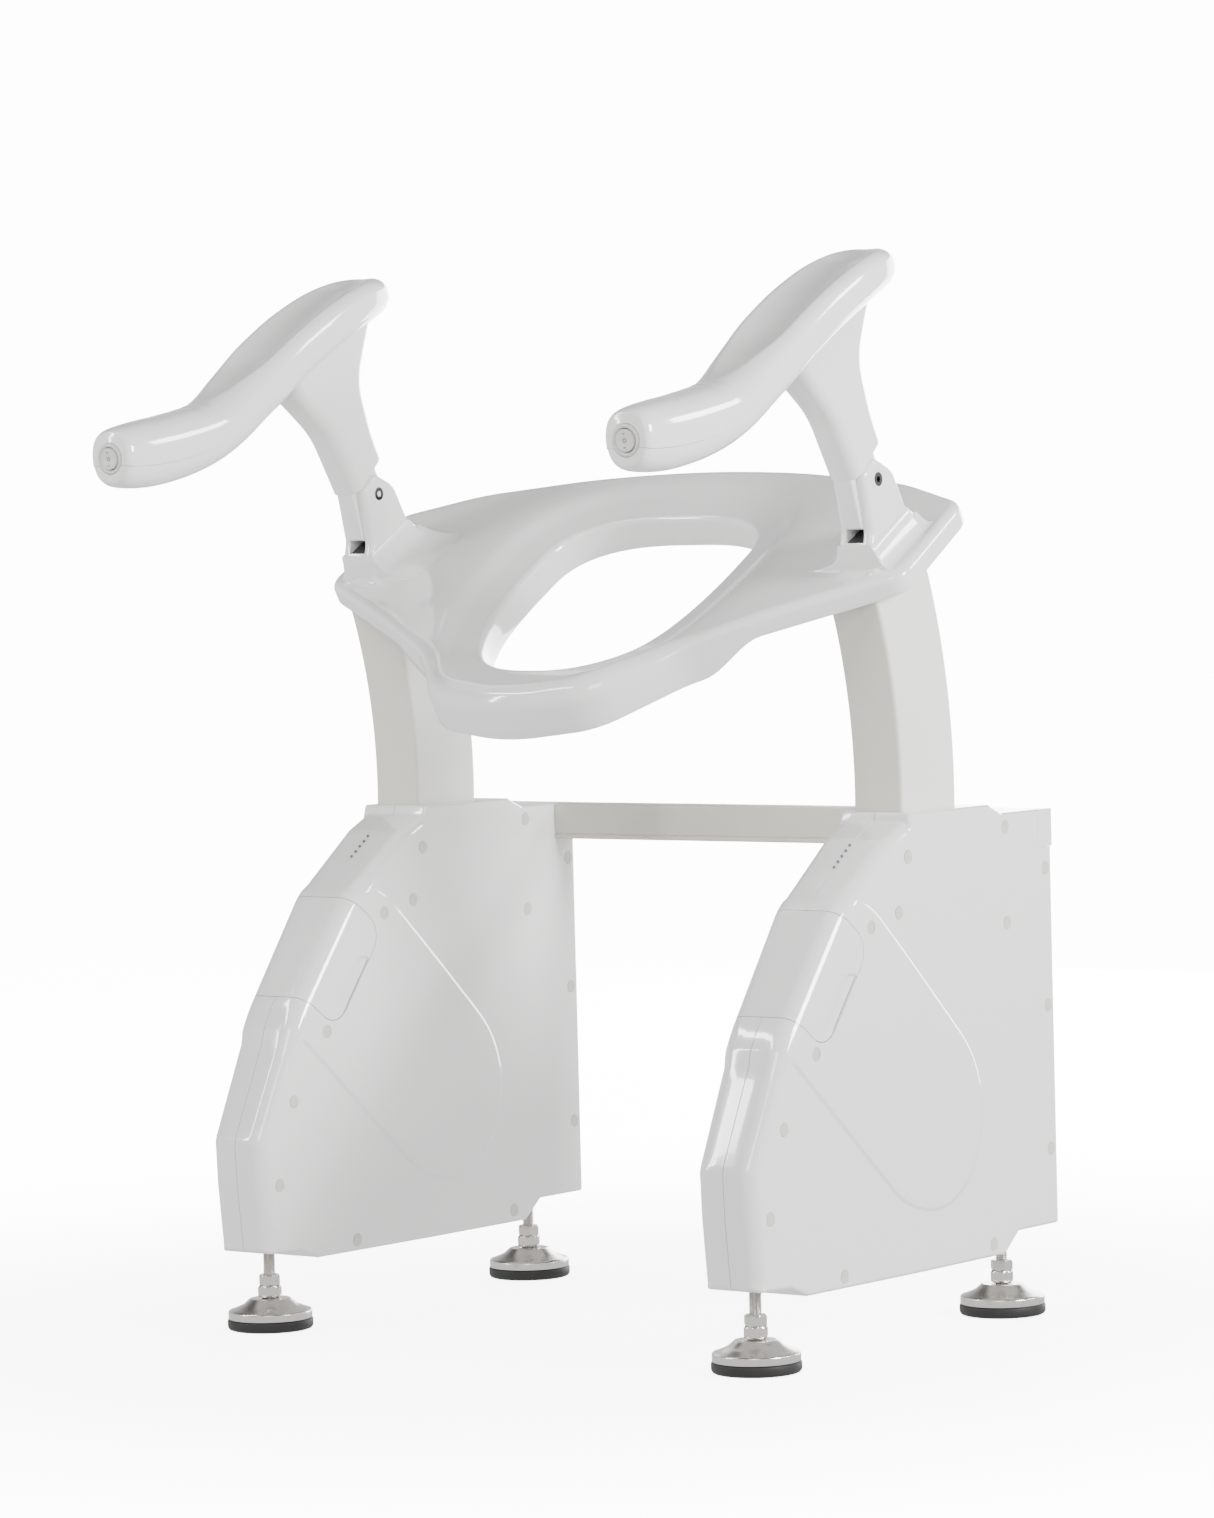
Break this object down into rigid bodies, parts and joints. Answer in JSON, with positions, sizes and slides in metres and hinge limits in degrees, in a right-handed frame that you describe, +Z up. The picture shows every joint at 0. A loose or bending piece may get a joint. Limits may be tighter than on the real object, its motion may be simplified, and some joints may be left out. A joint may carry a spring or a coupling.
{
  "type": "powered raised toilet seat",
  "caption": "Powered raised toilet seat on two side housings: curved columns lift and tilt a horseshoe seat with folding armrests, on levelling feet.",
  "frame": {"origin": "floor level under the middle of the object, midway between the side housings and midway between the front and rear feet", "axes": "+Z up, -Y towards the front of the seat, +X to the left side of a person sitting on it"},
  "size_m": [0.6752, 0.6256, 1.0016],
  "materials": {
    "white_shell": "glossy",
    "column_coat": "satin",
    "beige_cover": "satin",
    "steel": "brushed",
    "black_rubber": "matte",
    "dark_plastic": "matte",
    "bronze": "satin",
    "plug_grey": "matte"
  },
  "bodies": {
    "base": {"chassis_left": "steel", "housing_outer_left": "white_shell", "housing_inner_left": "white_shell", "gearmotor_left": "dark_plastic", "chassis_right": "steel", "housing_outer_right": "white_shell", "housing_inner_right": "white_shell", "gearmotor_right": "dark_plastic", "screw_plugs": "plug_grey", "charge_lights": "dark_plastic", "crossbar_tube": "steel", "crossbar_cover": "beige_cover", "crossbar_bolts": "steel", "crossbar_end_covers": "white_shell", "guide_pads": "dark_plastic", "control_boxes": "dark_plastic", "battery_docks": "dark_plastic", "pinion_bushes": "bronze"},
    "lift": {"column_left": "column_coat", "column_right": "column_coat", "rack_left": "steel", "rack_right": "steel", "seat": "white_shell", "seat_brackets": "steel", "seat_bolts": "steel", "hinge_block_left": "white_shell", "hinge_block_right": "white_shell", "arm_pivot_bolts": "steel"},
    "pinion_left": {"drive_pinion_left": "steel"},
    "battery_left": {"battery_cover_left": "white_shell", "battery_pack_left": "dark_plastic"},
    "arm_left": {"arm_body_left": "white_shell", "arm_top_left": "white_shell", "arm_bush_left": "bronze", "switch_bezel_left": "plug_grey"},
    "switch_left": {"switch_rocker_left": "plug_grey"},
    "stem_front_left": {"foot_stem_front_left": "steel", "foot_nut_front_left": "steel"},
    "pad_front_left": {"foot_cone_front_left": "steel", "foot_rubber_front_left": "black_rubber"},
    "stem_rear_left": {"foot_stem_rear_left": "steel", "foot_nut_rear_left": "steel"},
    "pad_rear_left": {"foot_cone_rear_left": "steel", "foot_rubber_rear_left": "black_rubber"},
    "pinion_right": {"drive_pinion_right": "steel"},
    "battery_right": {"battery_cover_right": "white_shell", "battery_pack_right": "dark_plastic"},
    "arm_right": {"arm_body_right": "white_shell", "arm_top_right": "white_shell", "arm_bush_right": "bronze", "switch_bezel_right": "plug_grey"},
    "switch_right": {"switch_rocker_right": "plug_grey"},
    "stem_front_right": {"foot_stem_front_right": "steel", "foot_nut_front_right": "steel"},
    "pad_front_right": {"foot_cone_front_right": "steel", "foot_rubber_front_right": "black_rubber"},
    "stem_rear_right": {"foot_stem_rear_right": "steel", "foot_nut_rear_right": "steel"},
    "pad_rear_right": {"foot_cone_rear_right": "steel", "foot_rubber_rear_right": "black_rubber"}
  },
  "joints": [
    {"name": "lift_swing", "type": "hinge", "parent": "base", "child": "lift", "pos_m": [0, -0.48, 0.503], "axis": [1, 0, 0], "range_deg": [-22, 0]},
    {"name": "pinion_left_turn", "type": "hinge", "parent": "base", "child": "pinion_left", "pos_m": [0.284, 0.11064, 0.40945], "axis": [1, 0, 0], "range_deg": [0, 526.7]},
    {"name": "battery_left_slide", "type": "slide", "parent": "base", "child": "battery_left", "axis": [0, -0.7965, 0.6046], "range_m": [0, 0.11]},
    {"name": "arm_left_fold", "type": "hinge", "parent": "lift", "child": "arm_left", "pos_m": [0.293, -0.01719, 0.79133], "axis": [1, 0, 0], "range_deg": [-80, 0]},
    {"name": "switch_left_rock", "type": "hinge", "parent": "arm_left", "child": "switch_left", "pos_m": [0.297, -0.37751, 0.82818], "axis": [1, 0, 0], "range_deg": [-8, 8], "stiffness_Nm_per_rad": 0.2},
    {"name": "stem_front_left_height", "type": "slide", "parent": "base", "child": "stem_front_left", "axis": [0, 0, 1], "range_m": [-0.01, 0.01]},
    {"name": "pad_front_left_tilt", "type": "hinge", "parent": "stem_front_left", "child": "pad_front_left", "pos_m": [0.284, -0.201, 0.022], "axis": [1, 0, 0], "range_deg": [-5, 5]},
    {"name": "stem_rear_left_height", "type": "slide", "parent": "base", "child": "stem_rear_left", "axis": [0, 0, 1], "range_m": [-0.01, 0.01]},
    {"name": "pad_rear_left_tilt", "type": "hinge", "parent": "stem_rear_left", "child": "pad_rear_left", "pos_m": [0.284, 0.201, 0.022], "axis": [1, 0, 0], "range_deg": [-5, 5]},
    {"name": "pinion_right_turn", "type": "hinge", "parent": "base", "child": "pinion_right", "pos_m": [-0.284, 0.11064, 0.40945], "axis": [1, 0, 0], "range_deg": [0, 526.7]},
    {"name": "battery_right_slide", "type": "slide", "parent": "base", "child": "battery_right", "axis": [0, -0.7965, 0.6046], "range_m": [0, 0.11]},
    {"name": "arm_right_fold", "type": "hinge", "parent": "lift", "child": "arm_right", "pos_m": [-0.293, -0.01719, 0.79133], "axis": [1, 0, 0], "range_deg": [-80, 0]},
    {"name": "switch_right_rock", "type": "hinge", "parent": "arm_right", "child": "switch_right", "pos_m": [-0.297, -0.37751, 0.82818], "axis": [1, 0, 0], "range_deg": [-8, 8], "stiffness_Nm_per_rad": 0.2},
    {"name": "stem_front_right_height", "type": "slide", "parent": "base", "child": "stem_front_right", "axis": [0, 0, 1], "range_m": [-0.01, 0.01]},
    {"name": "pad_front_right_tilt", "type": "hinge", "parent": "stem_front_right", "child": "pad_front_right", "pos_m": [-0.284, -0.201, 0.022], "axis": [1, 0, 0], "range_deg": [-5, 5]},
    {"name": "stem_rear_right_height", "type": "slide", "parent": "base", "child": "stem_rear_right", "axis": [0, 0, 1], "range_m": [-0.01, 0.01]},
    {"name": "pad_rear_right_tilt", "type": "hinge", "parent": "stem_rear_right", "child": "pad_rear_right", "pos_m": [-0.284, 0.201, 0.022], "axis": [1, 0, 0], "range_deg": [-5, 5]}
  ],
  "couplings": [
    {"joint": "pinion_left_turn", "follows": "lift_swing", "ratio": -23.917},
    {"joint": "pinion_right_turn", "follows": "lift_swing", "ratio": -23.917}
  ]
}
